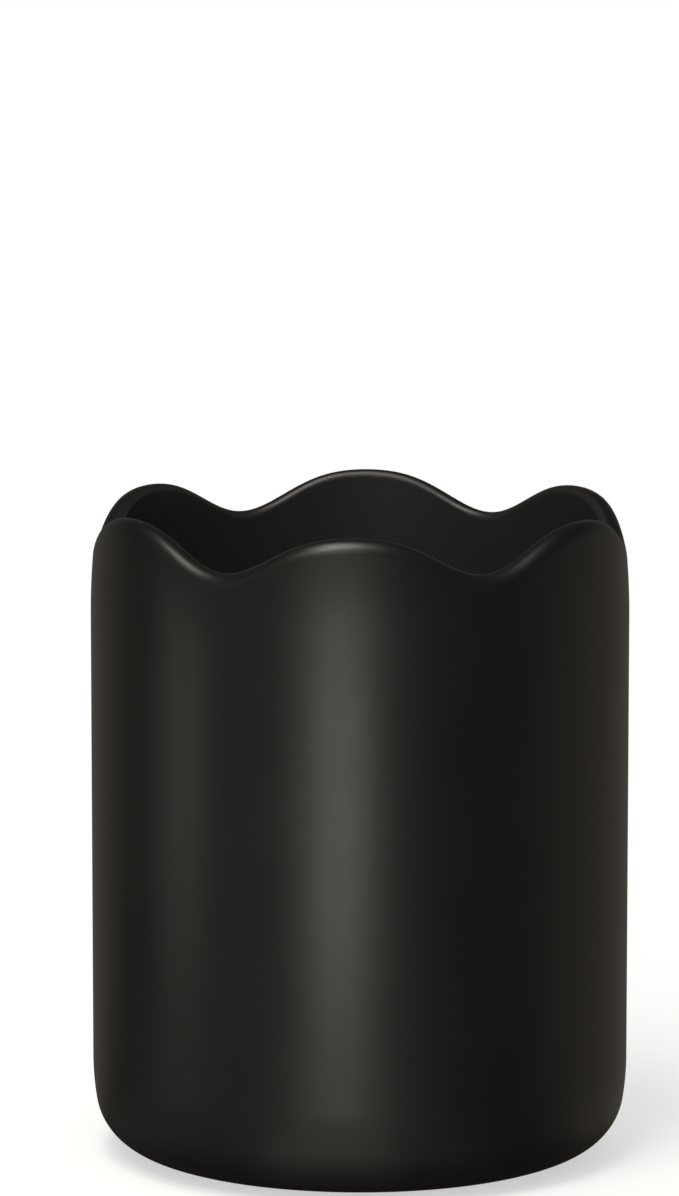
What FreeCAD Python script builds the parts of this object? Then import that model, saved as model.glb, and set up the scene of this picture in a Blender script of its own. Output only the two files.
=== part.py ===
import FreeCAD, Part
import math
import os

# Utensil crock: a straight round stoneware jar with a scalloped, rounded rim, a softly rounded
# base and a cork pad glued into its foot. Millimetres, +Z up. The origin is the middle of the
# pad's underside, on the surface that the crock stands on, and a crest of the rim faces -Y.

# Jar
outer_diameter = 150.0
height = 183.0  # from the standing surface to the crests of the rim
wall = 7.0
floor_thickness = 7.0
base_corner_radius = 18.0
inner_corner_radius = 14.0

# Rim
scallop_count = 6
scallop_depth = 11.0  # from a crest down to a trough
crest_fullness = 1.6  # how far the slopes bulge above a plain wave
points_per_scallop = 12
lip_outer_radius = 4.5
lip_inner_radius = 2.0
lip_room_share = 0.94  # the most of the wall that the two lip radii may take together
lip_outer_band_count = 5
lip_inner_band_count = 3

# Foot
foot_ring_width = 6.0
foot_edge_chamfer = 0.8

# Pad
pad_thickness = 3.0
pad_stand = 1.0  # how far the pad stands below the foot ring
pad_clearance = 0.5  # between the pad's edge and the foot ring

# Cuts run past the material by this much
overrun = 2.0

# Derived sizes
outer_radius = outer_diameter / 2
inner_radius = outer_radius - wall
foot_level = pad_stand
foot_radius = outer_radius - base_corner_radius
recess_radius = foot_radius - foot_ring_width
floor_level = pad_thickness + floor_thickness
trough_level = height - scallop_depth
lip_scale_share = min(1, wall * lip_room_share / (lip_outer_radius + lip_inner_radius))
lip_outer = lip_outer_radius * lip_scale_share
lip_inner = lip_inner_radius * lip_scale_share


def section_point(radius, level):
    """A point of the half section that is turned about the crock's axis."""
    return FreeCAD.Vector(radius, 0, level)


def quarter_turn(start, end, centre, radius):
    """The edge of a quarter circle from start to end."""
    outwards = (start + end) / 2 - centre
    return Part.Arc(start, centre + outwards.normalize() * radius, end).toShape()


def jar_blank():
    """The jar as it is cast, with a plain rim that runs above the crests."""
    blank_level = height + overrun
    ceiling_middle = section_point(0, pad_thickness)
    ceiling_edge = section_point(recess_radius, pad_thickness)
    ring_edge_top = section_point(recess_radius, foot_level + foot_edge_chamfer)
    ring_edge_low = section_point(recess_radius + foot_edge_chamfer, foot_level)
    corner_low = section_point(foot_radius, foot_level)
    corner_top = section_point(outer_radius, foot_level + base_corner_radius)
    corner_centre = section_point(foot_radius, foot_level + base_corner_radius)
    blank_outer = section_point(outer_radius, blank_level)
    blank_inner = section_point(inner_radius, blank_level)
    cove_top = section_point(inner_radius, floor_level + inner_corner_radius)
    cove_low = section_point(inner_radius - inner_corner_radius, floor_level)
    cove_centre = section_point(inner_radius - inner_corner_radius, floor_level + inner_corner_radius)
    floor_middle = section_point(0, floor_level)
    section = Part.Wire([
        Part.makeLine(ceiling_middle, ceiling_edge),
        Part.makeLine(ceiling_edge, ring_edge_top),
        Part.makeLine(ring_edge_top, ring_edge_low),
        Part.makeLine(ring_edge_low, corner_low),
        quarter_turn(corner_low, corner_top, corner_centre, base_corner_radius),
        Part.makeLine(corner_top, blank_outer),
        Part.makeLine(blank_outer, blank_inner),
        Part.makeLine(blank_inner, cove_top),
        quarter_turn(cove_top, cove_low, cove_centre, inner_corner_radius),
        Part.makeLine(cove_low, floor_middle),
        Part.makeLine(floor_middle, ceiling_middle),
    ])
    return Part.Face(section).revolve(FreeCAD.Vector(0, 0, 0), FreeCAD.Vector(0, 0, 1), 360)


def lip_side(side, wall_radius, lip_radius, bands):
    """A quarter circle in bands, from the top of the lip to the wall, as (radius, drop) pairs.

    side is 1 on the outside and -1 on the inside. The last band runs on past the wall."""
    pairs = []
    for band in range(bands + 1):
        turn = math.pi / 2 * band / bands
        radius = wall_radius - side * lip_radius * (1 - math.sin(turn))
        pairs.append((radius, lip_radius * (1 - math.cos(turn))))
    (near, near_drop), (end, end_drop) = pairs[-2:]
    slope = (end_drop - near_drop) / abs(end - near)
    pairs[-1] = (end + side * overrun, end_drop + slope * overrun)
    return pairs


def rim_ring(radius, drop):
    """A closed wave round the axis at this drop below the rim, with full crests, one towards -Y."""
    steps = scallop_count * points_per_scallop
    points = []
    for step in range(steps):
        angle = 2 * math.pi * step / steps
        wave = scallop_count * angle
        level = trough_level + scallop_depth * (1 + math.cos(wave)) / 2
        level += crest_fullness * math.sin(wave) ** 2 - drop
        points.append(FreeCAD.Vector(radius * math.sin(angle), -radius * math.cos(angle), level))
    curve = Part.BSplineCurve()
    curve.interpolate(Points=points, PeriodicFlag=True)
    return Part.Wire([curve.toShape()])


def scallop_cutter():
    """All that lies above the wavy, rounded rim: bands from ring to ring, drawn upwards."""
    outside = lip_side(1, outer_radius, lip_outer, lip_outer_band_count)
    inside = lip_side(-1, inner_radius, lip_inner, lip_inner_band_count)
    rings = [rim_ring(radius, drop) for radius, drop in outside[::-1] + inside]
    skin = Part.makeLoft(rings, False, True)
    return skin.extrude(FreeCAD.Vector(0, 0, scallop_depth + lip_outer + 2 * overrun))


def crock_body():
    """The jar with its rim cut to scallops and rounded, more outside than inside."""
    return jar_blank().cut(scallop_cutter())


def base_pad():
    """The cork disc, cut with a plain edge, that fills the foot's recess and stands proud of it."""
    return Part.makeCylinder(recess_radius - pad_clearance, pad_thickness)


os.makedirs("parts", exist_ok=True)
for node, shape in {"crock_body": crock_body(), "base_pad": base_pad()}.items():
    shape.exportStep(f"parts/{node}.step")
    print(node, "valid", shape.isValid(), "solids", len(shape.Solids))
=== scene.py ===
import math

import bpy
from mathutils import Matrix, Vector


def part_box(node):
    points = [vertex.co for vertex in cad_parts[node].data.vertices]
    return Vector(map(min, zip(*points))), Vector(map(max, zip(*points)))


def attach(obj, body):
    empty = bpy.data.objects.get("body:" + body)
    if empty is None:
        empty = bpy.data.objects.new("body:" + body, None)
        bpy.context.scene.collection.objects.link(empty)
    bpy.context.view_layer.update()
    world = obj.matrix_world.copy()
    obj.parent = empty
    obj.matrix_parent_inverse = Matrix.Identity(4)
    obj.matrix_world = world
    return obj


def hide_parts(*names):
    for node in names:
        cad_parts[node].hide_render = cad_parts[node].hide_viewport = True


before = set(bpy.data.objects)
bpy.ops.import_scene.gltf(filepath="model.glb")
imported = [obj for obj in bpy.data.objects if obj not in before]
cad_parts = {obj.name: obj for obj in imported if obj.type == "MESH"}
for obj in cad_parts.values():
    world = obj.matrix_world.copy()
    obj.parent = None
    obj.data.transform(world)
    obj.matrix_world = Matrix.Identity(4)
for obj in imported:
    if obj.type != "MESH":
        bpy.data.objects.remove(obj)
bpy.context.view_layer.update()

# Glazed crock
# One slip-cast stoneware pot. Its rim is cut to six scallops while the clay is soft and sponged
# round, more on the outside than on the inside. A satin black glaze covers it inside and out, and
# is wiped off the ring that it stands on in the kiln, which stays bare clay.

jar_low, jar_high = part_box("crock_body")
pad_low, pad_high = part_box("base_pad")
outer_radius = (jar_high.x - jar_low.x) / 2
wall = 0.007
inner_radius = outer_radius - wall
foot_level = jar_low.z
foot_edge_radius = 0.0008
recess_radius = 0.051
recess_level = pad_high.z
floor_thickness = 0.007
floor_level = recess_level + floor_thickness
cove_radius = 0.014

# The outside leans in a little before it turns into the base corner
corner_height = 0.014
corner_level = foot_level + corner_height
corner_lean = 0.00095
corner_lean_height = 0.012
corner_lean_angle = math.atan2(2 * corner_lean, corner_lean_height)
corner_radius = corner_height / (1 - math.sin(corner_lean_angle))
foot_radius = outer_radius - corner_lean - corner_radius * math.cos(corner_lean_angle)

# It leans in again below the lip
crest_level = jar_high.z
lip_outer_radius = 0.0041
lip_inner_radius = 0.002
lip_lean = 0.0007
lip_lean_height = 0.018
lip_lean_angle = math.atan2(2 * lip_lean, lip_lean_height)
lip_level = crest_level - lip_outer_radius
lip_start = lip_level + lip_outer_radius * math.sin(lip_lean_angle)
lip_middle_radius = outer_radius - lip_lean - lip_outer_radius * math.cos(lip_lean_angle)

scallop_count = 6
scallop_depth = 0.011
crest_fullness = 0.0016
steps_per_scallop = 48


def rounding(radius_at, level_at, radius, start, turn, steps):
    """Points of a half section on an arc about a centre, from start on through turn, in degrees."""
    points = []
    for step in range(steps + 1):
        angle = math.radians(start + turn * step / steps)
        points.append((radius_at + radius * math.cos(angle), level_at + radius * math.sin(angle)))
    return points


def leaning_wall(straight_level, rounded_level, lean, steps):
    """The end of the outside wall, which leans in more and more from its straight part on."""
    points = []
    for step in range(steps):
        share = step / steps
        level = straight_level + (rounded_level - straight_level) * share
        points.append((outer_radius - lean * share ** 2, level))
    return points


def half_section(start, *runs):
    """One line from start. Each run is its number of rows, closer near both ends, and its points."""
    line = [start]
    for rows, points in runs:
        (near, low), (far, high) = line[-1], points[0]
        for row in range(1, rows):
            share = (1 - math.cos(math.pi * row / rows)) / 2
            line.append((near + (far - near) * share, low + (high - low) * share))
        line += points
    return line


jar_section = half_section(
    (0, recess_level),
    (8, [(recess_radius, recess_level)]),
    (3, rounding(recess_radius + foot_edge_radius, foot_level + foot_edge_radius,
                 foot_edge_radius, 180, 90, 6)),
    (5, rounding(foot_radius, foot_level + corner_radius, corner_radius,
                 -90, 90 - math.degrees(corner_lean_angle), 26)),
    (1, leaning_wall(corner_level + corner_lean_height, corner_level, corner_lean, 12)[::-1]),
    (26, leaning_wall(lip_start - lip_lean_height, lip_start, lip_lean, 12)),
    (1, rounding(lip_middle_radius, lip_level, lip_outer_radius,
                 math.degrees(lip_lean_angle), 90 - math.degrees(lip_lean_angle), 16)),
    (2, rounding(inner_radius + lip_inner_radius, crest_level - lip_inner_radius,
                 lip_inner_radius, 90, 90, 10)),
    (30, rounding(inner_radius - cove_radius, floor_level + cove_radius, cove_radius, 0, -90, 16)),
    (14, [(0, floor_level)]),
)


class Wire:
    """A node's output, so that maths on it is written as Python arithmetic."""

    def __init__(self, socket):
        self.socket = socket
        self.tree = socket.id_data

    @classmethod
    def node(cls, tree, kind, settings=(), sockets=(), output=0):
        """Adds a node: its settings first, then the value or the link of each socket."""
        made = tree.nodes.new(kind)
        for name, value in dict(settings).items():
            if name == "stops":
                ramp = made.color_ramp.elements
                while len(ramp) < len(value):
                    ramp.new(0.5)
                for stop, (position, colour) in zip(ramp, value):
                    stop.position = position
                    stop.color = colour
            else:
                setattr(made, name, value)
        for name, value in dict(sockets).items():
            if isinstance(value, Wire):
                tree.links.new(value.socket, made.inputs[name])
            else:
                made.inputs[name].default_value = value
        return cls(made.outputs[output]) if made.outputs else None

    def maths(self, operation, first, second=0.0):
        return Wire.node(self.tree, "ShaderNodeMath", {"operation": operation}, {0: first, 1: second})

    def __add__(self, other):
        return self.maths("ADD", self, other)

    def __radd__(self, other):
        return self.maths("ADD", other, self)

    def __sub__(self, other):
        return self.maths("SUBTRACT", self, other)

    def __rsub__(self, other):
        return self.maths("SUBTRACT", other, self)

    def __mul__(self, other):
        return self.maths("MULTIPLY", self, other)

    def __rmul__(self, other):
        return self.maths("MULTIPLY", other, self)

    def __truediv__(self, other):
        return self.maths("DIVIDE", self, other)

    def __rtruediv__(self, other):
        return self.maths("DIVIDE", other, self)

    def __pow__(self, other):
        return self.maths("POWER", self, other)

    def floor(self):
        return self.maths("FLOOR", self)

    def sine(self):
        return self.maths("SINE", self)

    def cosine(self):
        return self.maths("COSINE", self)

    def root(self):
        return self.maths("SQRT", self)

    def highest(self, other):
        return self.maths("MAXIMUM", self, other)

    def rise(self, start, end):
        """0 up to start and 1 from end on, with a soft step between them."""
        return Wire.node(self.tree, "ShaderNodeMapRange", {"interpolation_type": "SMOOTHSTEP"},
                         {0: self, 1: start, 2: end, 3: 0.0, 4: 1.0})


def new_tree(name, inputs, output):
    """An empty Geometry Nodes tree, with its named inputs as wires."""
    tree = bpy.data.node_groups.new(name, "GeometryNodeTree")
    for label, kind in inputs.items():
        tree.interface.new_socket(label, in_out="INPUT", socket_type=f"NodeSocket{kind}")
    tree.interface.new_socket(output, in_out="OUTPUT", socket_type="NodeSocketGeometry")
    return tree, {label: Wire.node(tree, "NodeGroupInput", output=label) for label in inputs}


def turning_tree():
    """Turns a half section about the crock's axis and lets its rim rise and fall in scallops."""
    weld_distance = 1e-6
    tree, size = new_tree("turned_and_scalloped", {
        "Half section": "Geometry",
        "Steps round": "Int",
        "Scallops": "Int",
        "Scallop depth": "Float",
        "Crest fullness": "Float",
        "Wall foot": "Float",
        "Wall top": "Float",
        "Lip height": "Float",
        "Finish": "Material",
    }, "Turned piece")
    section = size["Half section"]
    points = Wire.node(tree, "GeometryNodeAttributeDomainSize", {"component": "MESH"}, {0: section})
    net = Wire.node(tree, "GeometryNodeMeshGrid", (),
                    {"Vertices X": size["Steps round"] + 1, "Vertices Y": points})
    index = Wire.node(tree, "GeometryNodeInputIndex")
    step = ((index + 0.5) / points).floor()
    place = Wire.node(tree, "GeometryNodeInputPosition")
    point = Wire.node(tree, "GeometryNodeSampleIndex",
                      {"data_type": "FLOAT_VECTOR", "domain": "POINT"},
                      {"Geometry": section, "Value": place, "Index": index - step * points})
    radius = Wire.node(tree, "ShaderNodeSeparateXYZ", (), {0: point}, "X")
    level = Wire.node(tree, "ShaderNodeSeparateXYZ", (), {0: point}, "Z")
    angle = step * (2 * math.pi) / size["Steps round"]
    wave = angle * size["Scallops"]
    drop = size["Scallop depth"] * (1 - wave.cosine()) / 2 - size["Crest fullness"] * wave.sine() ** 2
    stretch = Wire.node(tree, "ShaderNodeMapRange", (),
                        {0: level, 1: size["Wall foot"], 2: size["Wall top"], 3: 0.0, 4: 1.0})
    spot = Wire.node(tree, "ShaderNodeCombineXYZ", (),
                     {"X": radius * angle.sine(), "Y": -1 * radius * angle.cosine(),
                      "Z": level - drop * stretch})
    turned = Wire.node(tree, "GeometryNodeSetPosition", (), {"Geometry": net, "Position": spot})
    lip = (level - size["Wall top"]) / size["Lip height"]
    marked = Wire.node(tree, "GeometryNodeStoreNamedAttribute",
                       {"data_type": "FLOAT", "domain": "POINT"},
                       {"Geometry": turned, "Name": "lip", "Value": lip})
    closed = Wire.node(tree, "GeometryNodeMergeByDistance", (),
                       {"Geometry": marked, "Distance": weld_distance})
    smooth = Wire.node(tree, "GeometryNodeSetShadeSmooth", (), {"Geometry": closed})
    real = Wire.node(tree, "GeometryNodeRealizeInstances", (), {"Geometry": smooth})
    finished = Wire.node(tree, "GeometryNodeSetMaterial", (),
                         {"Geometry": real, "Material": size["Finish"]})
    Wire.node(tree, "NodeGroupOutput", (), {"Turned piece": finished})
    return tree


def turned_piece(name, section, tree, sizes):
    """A half section, as (radius, level) points, made into a plain mesh by a tree."""
    drawn = bpy.data.meshes.new(f"{name}_section")
    edges = [(start, start + 1) for start in range(len(section) - 1)]
    drawn.from_pydata([(radius, 0, level) for radius, level in section], edges, [])
    drawing = bpy.data.objects.new(f"{name}_section", drawn)
    bpy.context.scene.collection.objects.link(drawing)
    turning = drawing.modifiers.new("turning", "NODES")
    turning.node_group = tree
    for item in tree.interface.items_tree:
        if item.name in sizes:
            turning[item.identifier] = sizes[item.name]
    graph = bpy.context.evaluated_depsgraph_get()
    mesh = bpy.data.meshes.new_from_object(drawing.evaluated_get(graph))
    mesh.name = name
    bpy.data.objects.remove(drawing)
    bpy.data.meshes.remove(drawn)
    piece = bpy.data.objects.new(name, mesh)
    bpy.context.scene.collection.objects.link(piece)
    return piece


def new_finish(name):
    """An empty material, and the place on the piece that its patterns follow."""
    finish = bpy.data.materials.new(name)
    finish.use_nodes = True
    finish.node_tree.nodes.clear()
    return finish, Wire.node(finish.node_tree, "ShaderNodeTexCoord", output="Object")


def coordinate(place, axis):
    return Wire.node(place.tree, "ShaderNodeSeparateXYZ", (), {0: place}, axis)


def noise(place, size, detail, output=0):
    """Cloudy noise whose clouds are about this size, in metres."""
    return Wire.node(place.tree, "ShaderNodeTexNoise", (),
                     {"Vector": place, "Scale": 1 / size, "Detail": detail}, output)


def blended(factor, first, second):
    """Two colours mixed, the second where factor is 1."""
    return Wire.node(factor.tree, "ShaderNodeMix", {"data_type": "RGBA"},
                     {0: factor, 6: first, 7: second}, 2)


def black_glaze_finish():
    """Satin black glaze, thinner over the lip, lighter inside as painted light, with bare clay under the
    foot.
    """
    black = (0.0032, 0.0030, 0.0027, 1)
    warm_black = (0.0052, 0.0048, 0.0042, 1)
    inside_painted_light_black = (0.012, 0.0118, 0.0114, 1)
    thin_brown = (0.013, 0.0095, 0.007, 1)
    clay = (0.34, 0.26, 0.185, 1)
    pale_clay = (0.60, 0.49, 0.37, 1)
    iron_brown = (0.15, 0.085, 0.05, 1)
    satin = 0.38
    bare_clay_roughness = 0.92
    cloud_size = 0.026
    peel_size = 0.0024
    peel_height = 0.00002
    speck_size = 0.0013
    grain_size = 0.0004
    glaze_grain_height = 0.000004
    clay_grain_height = 0.00003
    thinning = 0.15
    wiped_height = 0.00022
    wiped_wander = 0.0005
    wiped_edge = 0.00008
    finish, place = new_finish("satin_black_glaze")
    tree = finish.node_tree
    level = coordinate(place, "Z")
    radius = (coordinate(place, "X") ** 2 + coordinate(place, "Y") ** 2).root()
    cloud = noise(place, cloud_size, 4.0)
    peel = noise(place, peel_size, 2.0)
    grain = noise(place, grain_size, 3.0)
    lip = Wire.node(tree, "ShaderNodeAttribute", {"attribute_name": "lip"}, (), "Fac")
    above_recess = level.rise(recess_level + 0.001, floor_level - 0.002)
    inside = (1 - radius.rise(inner_radius - 0.0002, inner_radius + 0.002)) * above_recess
    outside_colour = blended(cloud, black, warm_black)
    # Painted light: the inside of the pot gets a lighter black, as if light filled the hollow.
    glaze_colour = blended(inside, outside_colour, inside_painted_light_black)
    thin = lip.rise(0.3, 1.0) * cloud.rise(0.35, 0.7) * thinning
    broken_colour = blended(thin, glaze_colour, thin_brown)
    wiped_line = foot_level + wiped_height + (cloud - 0.5) * wiped_wander
    wiped = 1 - (level - wiped_line).rise(0.0, wiped_edge)
    under_floor = 1 - level.rise(recess_level + 0.001, recess_level + 0.002)
    in_recess = under_floor * (1 - radius.rise(recess_radius + 0.0004, recess_radius + 0.0008))
    bare = wiped.highest(in_recess)
    speck = noise(place, speck_size, 1.0).rise(0.7, 0.76)
    clay_colour = blended(speck * 0.7, blended(grain, clay, pale_clay), iron_brown)
    colour = blended(bare, broken_colour, clay_colour)
    glaze_roughness = satin + (cloud - 0.5) * 0.05 + (peel - 0.5) * 0.04 + inside * 0.06
    roughness = glaze_roughness + (bare_clay_roughness - glaze_roughness) * bare
    relief = peel * peel_height + grain * glaze_grain_height + bare * grain * clay_grain_height
    bump = Wire.node(tree, "ShaderNodeBump", (), {"Strength": 0.5, "Distance": 1.0, "Height": relief})
    glaze = Wire.node(tree, "ShaderNodeBsdfPrincipled", (),
                      {"Base Color": colour, "Roughness": roughness, "IOR": 1.5, "Normal": bump})
    Wire.node(tree, "ShaderNodeOutputMaterial", (), {"Surface": glaze})
    return finish


turning = turning_tree()
crock = turned_piece("glazed_crock", jar_section, turning, {
    "Steps round": steps_per_scallop * scallop_count,
    "Scallops": scallop_count,
    "Scallop depth": scallop_depth,
    "Crest fullness": crest_fullness,
    "Wall foot": floor_level + cove_radius,
    "Wall top": lip_level,
    "Lip height": lip_outer_radius,
    "Finish": black_glaze_finish(),
})
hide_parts("crock_body")
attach(crock, "root")

# Cork base pad
# A disc punched from a sheet of pressed cork granules and glued into the recess of the foot. It
# stands a little below the clay ring, so that the crock rests softly and doesn't scratch.

pad_radius = (pad_high.x - pad_low.x) / 2
pad_thickness = pad_high.z - pad_low.z
pad_edge_radius = 0.0003
granule = 0.0026
raggedness = 0.0019
rag_size = 0.0011
joint_depth = 0.00012
pad_steps_round = 360

pad_section = half_section(
    (0, 0),
    (64, rounding(pad_radius - pad_edge_radius, pad_edge_radius, pad_edge_radius, -90, 90, 4)),
    (6, rounding(pad_radius - pad_edge_radius, pad_thickness - pad_edge_radius,
                 pad_edge_radius, 0, 90, 4)),
    (6, [(0, pad_thickness)]),
)


def ragged(place, amount):
    """A place on the pad, shifted by up to this amount, so that the granules get ragged outlines."""
    wander = noise(place, rag_size, 3.0, "Color")
    shift = Wire.node(place.tree, "ShaderNodeVectorMath", {"operation": "SCALE"},
                      {0: wander, "Scale": amount})
    return Wire.node(place.tree, "ShaderNodeVectorMath", {"operation": "ADD"}, {0: place, 1: shift})


def granule_edge(ragged_place, size):
    """How far a place is from the joints between the granules, as a share of a granule."""
    return Wire.node(ragged_place.tree, "ShaderNodeTexVoronoi", {"feature": "DISTANCE_TO_EDGE"},
                     {"Vector": ragged_place, "Scale": 1 / size}, "Distance")


def pressed_cork_tree():
    """A turned disc that sinks a little along the joints between its granules."""
    tree, size = new_tree("pressed_cork", {
        "Half section": "Geometry",
        "Steps round": "Int",
        "Granule": "Float",
        "Raggedness": "Float",
        "Joint depth": "Float",
        "Finish": "Material",
    }, "Cork disc")
    disc = Wire.node(tree, "GeometryNodeGroup", {"node_tree": turning},
                     {"Half section": size["Half section"], "Steps round": size["Steps round"]})
    place = Wire.node(tree, "GeometryNodeInputPosition")
    outwards = Wire.node(tree, "GeometryNodeInputNormal")
    edge = granule_edge(ragged(place, size["Raggedness"]), size["Granule"])
    sink = size["Joint depth"] * (edge.rise(0.0, 0.16) - 1)
    shift = Wire.node(tree, "ShaderNodeVectorMath", {"operation": "SCALE"}, {0: outwards, "Scale": sink})
    pitted = Wire.node(tree, "GeometryNodeSetPosition", (), {"Geometry": disc, "Offset": shift})
    real = Wire.node(tree, "GeometryNodeRealizeInstances", (), {"Geometry": pitted})
    finished = Wire.node(tree, "GeometryNodeSetMaterial", (),
                         {"Geometry": real, "Material": size["Finish"]})
    Wire.node(tree, "NodeGroupOutput", (), {"Cork disc": finished})
    return tree


def cork_finish():
    """Tan and brown granules, each of its own shade, with dark joints and a fine dry grain."""
    granule_shades = [
        (0.0, (0.17, 0.090, 0.045, 1)),
        (0.22, (0.36, 0.21, 0.11, 1)),
        (0.6, (0.49, 0.31, 0.17, 1)),
        (1.0, (0.60, 0.41, 0.24, 1)),
    ]
    joint_brown = (0.15, 0.08, 0.042, 1)
    dark_grain = (0.30, 0.18, 0.095, 1)
    grain_size = 0.0005
    grain_height = 0.00008
    pore_size = 0.0009
    pore_depth = 0.0001
    joint_line_depth = 0.00006
    finish, place = new_finish("pressed_cork")
    tree = finish.node_tree
    ragged_place = ragged(place, raggedness)
    shade = Wire.node(tree, "ShaderNodeTexVoronoi", {"feature": "F1"},
                      {"Vector": ragged_place, "Scale": 1 / granule}, "Color")
    pick = Wire.node(tree, "ShaderNodeSeparateColor", (), {0: shade}, "Red")
    granules = Wire.node(tree, "ShaderNodeValToRGB", {"stops": granule_shades}, {0: pick})
    grain = noise(place, grain_size, 3.0)
    pore = noise(place, pore_size, 1.0).rise(0.66, 0.74)
    joint = 1 - granule_edge(ragged_place, granule).rise(0.0, 0.09)
    grained = blended(grain.rise(0.45, 0.75) * 0.5, granules, dark_grain)
    colour = blended((joint * 0.6).highest(pore * 0.8), grained, joint_brown)
    roughness = 0.82 + grain * 0.15
    relief = grain * grain_height - joint * joint_line_depth - pore * pore_depth
    bump = Wire.node(tree, "ShaderNodeBump", (), {"Strength": 0.7, "Distance": 1.0, "Height": relief})
    cork = Wire.node(tree, "ShaderNodeBsdfPrincipled", (),
                     {"Base Color": colour, "Roughness": roughness, "IOR": 1.4, "Normal": bump})
    Wire.node(tree, "ShaderNodeOutputMaterial", (), {"Surface": cork})
    return finish


pad = turned_piece("cork_base_pad", pad_section, pressed_cork_tree(), {
    "Steps round": pad_steps_round,
    "Granule": granule,
    "Raggedness": raggedness,
    "Joint depth": joint_depth,
    "Finish": cork_finish(),
})
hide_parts("base_pad")
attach(pad, "root")

# Floor
# A plain white sheet on a table. It shows the crock's soft shadow close by, and further out it is
# as white as the room behind it.

sheet_radius = 1.2
sheet_level = -0.0002
sheet_steps = 96


def ring_points(radius, level, steps):
    """Points evenly round the crock's axis."""
    points = []
    for step in range(steps):
        angle = 2 * math.pi * step / steps
        points.append((radius * math.cos(angle), radius * math.sin(angle), level))
    return points


def stage_piece(name, points, faces, finish):
    """A sheet or card that isn't part of the crock."""
    mesh = bpy.data.meshes.new(name)
    mesh.from_pydata(points, [], faces)
    mesh.materials.append(finish)
    piece = bpy.data.objects.new(name, mesh)
    bpy.context.scene.collection.objects.link(piece)
    return piece


def looked_at(tree):
    """1 for what the camera sees, also in a mirror or through glass."""
    camera = Wire.node(tree, "ShaderNodeLightPath", output="Is Camera Ray")
    mirror = Wire.node(tree, "ShaderNodeLightPath", output="Is Glossy Ray")
    glass = Wire.node(tree, "ShaderNodeLightPath", output="Is Transmission Ray")
    return camera.highest(mirror).highest(glass)


def glow(tree, colour, strength):
    """An even glow, whatever light falls on it."""
    return Wire.node(tree, "ShaderNodeEmission", (), {"Color": colour, "Strength": strength})


def laid_over(factor, under, over):
    """One surface laid over another, and seen alone where factor is 1."""
    return Wire.node(factor.tree, "ShaderNodeMixShader", (), {0: factor, 1: under, 2: over})


def white_sheet_finish():
    """White paper that keeps about half of the shadow near the crock, and none of it far away."""
    paper_white = (0.94, 0.94, 0.94, 1)
    near_whiteness = 0.55
    finish, place = new_finish("white_sheet")
    tree = finish.node_tree
    reach = Wire.node(tree, "ShaderNodeVectorMath", {"operation": "LENGTH"}, {0: place}, "Value")
    paper = Wire.node(tree, "ShaderNodeBsdfDiffuse", (), {"Color": paper_white})
    whiteness = near_whiteness + (1 - near_whiteness) * reach.rise(0.08, 0.4)
    sheet = laid_over(looked_at(tree) * whiteness, paper, glow(tree, (1, 1, 1, 1), 1.0))
    Wire.node(tree, "ShaderNodeOutputMaterial", (), {"Surface": sheet})
    return finish


sheet_points = ring_points(sheet_radius, sheet_level, sheet_steps)
stage_piece("white_sheet", sheet_points, [range(sheet_steps)], white_sheet_finish())

# Dark cards, glowing as painted reflections
# A dark tent and table card round the crock, out of the picture, as black ware is photographed:
# the glaze mirrors them between the soft boxes, and they neither shade nor light anything else.
# They glow, so all that the glaze shows of them is painted reflection, with painted light and shade.

tent_radius = 3.0
tent_rings = 16
card_hole_radius = 0.0515
card_level = 0.0003
card_steps = 64


def painted_reflection_card_finish():
    """Dark warm grey glow: painted reflection, painted light behind and before the low boxes, painted
    shadow at the foot.
    """
    warm = (1, 0.93, 0.82, 1)
    warmest = (1, 0.87, 0.72, 1)
    neutral = (1, 0.98, 0.95, 1)
    dark = 0.045
    painted_table_light = 0.16
    painted_front_box_light = 0.6
    painted_high_back_light = 0.17
    painted_low_back_light = 0.225
    foot_shadow = 0.03
    finish, place = new_finish("painted_reflection_card")
    tree = finish.node_tree
    across = coordinate(place, "X")
    along = coordinate(place, "Y")
    level = coordinate(place, "Z")
    reach = (across ** 2 + along ** 2).root()
    on_table = 1 - level.rise(0.001, 0.05)
    towards_boxes = ((across * -0.47 - along * 0.88) / reach).rise(0.25, 0.8)
    towards_front_box = ((across * -0.115 - along * 0.993) / reach).rise(0.92, 1.0)
    towards_back = ((along + across * 0.34 + 0.03) / reach).rise(-0.1, 0.5)
    # Painted light: glowing pools on the table card before the low boxes and, close by, before the front
    # box.
    before_boxes = towards_boxes * on_table
    before_front_box = towards_front_box * on_table * (1 - reach.rise(0.1, 0.22))
    # Painted reflection of a bright room behind the crock, neutral up high and warm down low.
    high_behind = towards_back * level.rise(0.1, 0.5) * (1 - level.rise(0.8, 1.6))
    low_behind = towards_back * (1 - level.rise(0.0, 0.55))
    # Painted shadow: the table card glows least round the crock's foot.
    at_foot = on_table * (1 - reach.rise(0.062, 0.1))
    card = glow(tree, warm, dark)
    for where, colour, strength in (
        (before_boxes, warm, painted_table_light),
        (before_front_box, warm, painted_front_box_light),
        (high_behind, neutral, painted_high_back_light),
        (low_behind, warmest, painted_low_back_light),
        (at_foot, warm, foot_shadow),
    ):
        card = laid_over(where, card, glow(tree, colour, strength))
    Wire.node(tree, "ShaderNodeOutputMaterial", (), {"Surface": card})
    return finish


def mirrored_only(card):
    """Lets a card show in the glaze and nowhere else."""
    card.visible_camera = False
    card.visible_diffuse = False
    card.visible_transmission = False
    card.visible_volume_scatter = False
    card.visible_shadow = False


def ring_faces(rings, steps):
    """Faces between rings of points that follow each other."""
    faces = []
    for ring in range(rings - 1):
        low = ring * steps
        for step in range(steps):
            after = (step + 1) % steps
            faces.append((low + step, low + after, low + steps + after, low + steps + step))
    return faces


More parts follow.
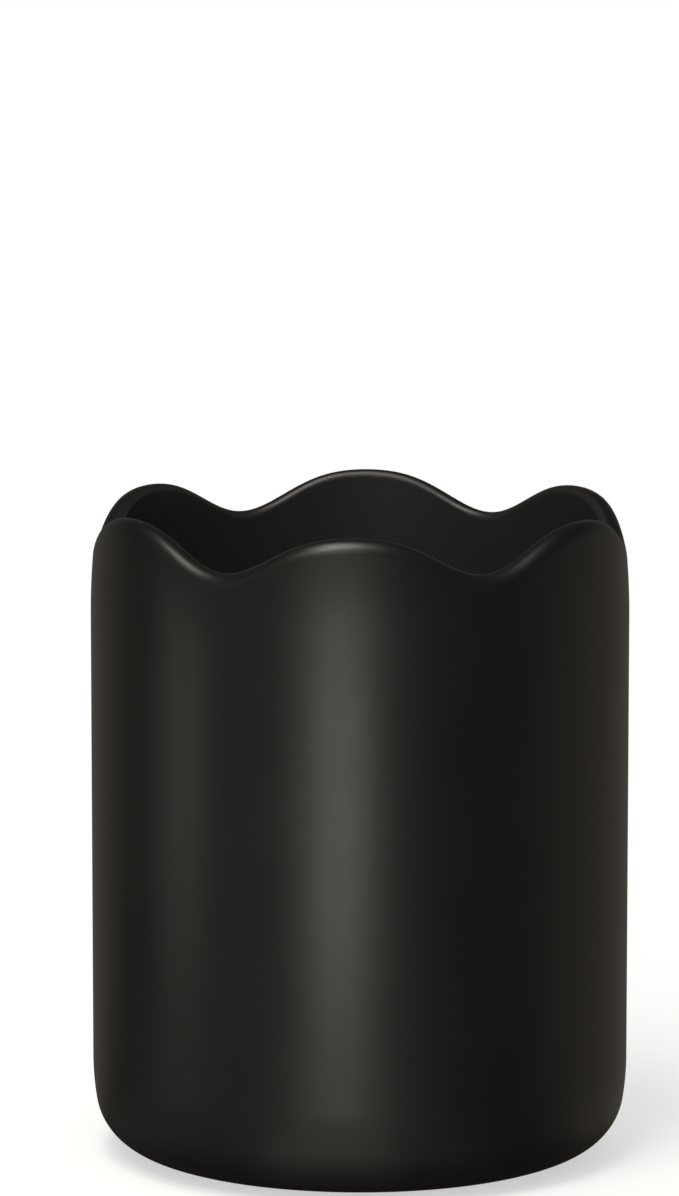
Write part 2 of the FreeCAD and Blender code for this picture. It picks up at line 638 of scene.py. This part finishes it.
painted_reflection_card = painted_reflection_card_finish()
tent_points = []
for tent_ring in range(tent_rings):
    slope = math.pi / 2 * tent_ring / tent_rings
    tent_points += ring_points(tent_radius * math.cos(slope), tent_radius * math.sin(slope), card_steps)
tent_top = range(len(tent_points) - card_steps, len(tent_points))
tent_faces = ring_faces(tent_rings, card_steps) + [tent_top]
mirrored_only(stage_piece("painted_reflection_tent", tent_points, tent_faces, painted_reflection_card))
card_points = ring_points(card_hole_radius, card_level, card_steps)
card_points += ring_points(tent_radius, card_level, card_steps)
mirrored_only(stage_piece("painted_reflection_table_card", card_points, ring_faces(2, card_steps), painted_reflection_card))

# Soft boxes
# Low boxes close to the table draw the upright bands of light on the crock's wall, and high ones
# draw the lines on its lip.

box_colour = (1.0, 0.965, 0.87)


def soft_box(name, turn, level, distance, width, tall, radiance):
    """A lamp that faces the middle of the crock; turn is in degrees from the front, to the right."""
    lamp = bpy.data.lights.new(name, "AREA")
    lamp.shape = "RECTANGLE"
    lamp.size = width
    lamp.size_y = tall
    lamp.color = box_colour
    lamp.energy = radiance * math.pi * width * tall
    holder = bpy.data.objects.new(name, lamp)
    angle = math.radians(turn)
    holder.location = (distance * math.sin(angle), -distance * math.cos(angle), level)
    facing = Vector((0, 0, crest_level / 2)) - holder.location
    holder.rotation_euler = facing.to_track_quat("-Z", "Y").to_euler()
    holder.visible_camera = False
    bpy.context.scene.collection.objects.link(holder)


soft_box("front_low_box", turn=-6.6, level=0.026, distance=0.55, width=0.19, tall=0.046, radiance=15.5)
soft_box("front_middle_box", turn=-11.5, level=0.51, distance=0.9, width=0.3, tall=0.25, radiance=4)
soft_box("top_box", turn=-21, level=1.35, distance=0.8, width=0.49, tall=0.9, radiance=10)
soft_box("overhead_box", turn=-58, level=1.4, distance=0.29, width=0.3, tall=0.3, radiance=9)
soft_box("left_low_box", turn=-74, level=0.036, distance=0.55, width=0.17, tall=0.068, radiance=2.4)
soft_box("left_middle_box", turn=-70, level=0.37, distance=0.9, width=0.2, tall=0.25, radiance=0.9)

# Room
# White to look at, and a softer white as the light that fills the shadows.

fill_light = 0.65
room = bpy.data.worlds.new("white_room")
bpy.context.scene.world = room
room.use_nodes = True
air = room.node_tree
air.nodes.clear()
white_air = Wire.node(air, "ShaderNodeBackground", (), {"Color": (1, 1, 1, 1), "Strength": 1.0})
fill_air = Wire.node(air, "ShaderNodeBackground", (), {"Color": (1, 1, 1, 1), "Strength": fill_light})
Wire.node(air, "ShaderNodeOutputWorld", (), {"Surface": laid_over(looked_at(air), fill_air, white_air)})

# Camera
# It stands a little to the right of the front crest and looks down on the crock, as in the
# photograph, whose height in pixels and sight length give the lens.

view_turn = math.radians(1.49)
view_distance = 1.8
view_level = 0.4325
view_dip = math.radians(8.728)
view_aside = math.radians(0.182)
sight_pixels = 6537
picture_pixels = 1196
film_height = 24

camera = bpy.data.cameras.new("view")
camera.sensor_fit = "VERTICAL"
camera.sensor_height = film_height
camera.lens = film_height * sight_pixels / picture_pixels
viewer = bpy.data.objects.new("view", camera)
viewer.location = (view_distance * math.sin(view_turn), -view_distance * math.cos(view_turn), view_level)
viewer.rotation_euler = (math.pi / 2 - view_dip, 0, view_turn + view_aside)
bpy.context.scene.collection.objects.link(viewer)
bpy.context.scene.camera = viewer
bpy.context.scene.view_settings.view_transform = "Standard"
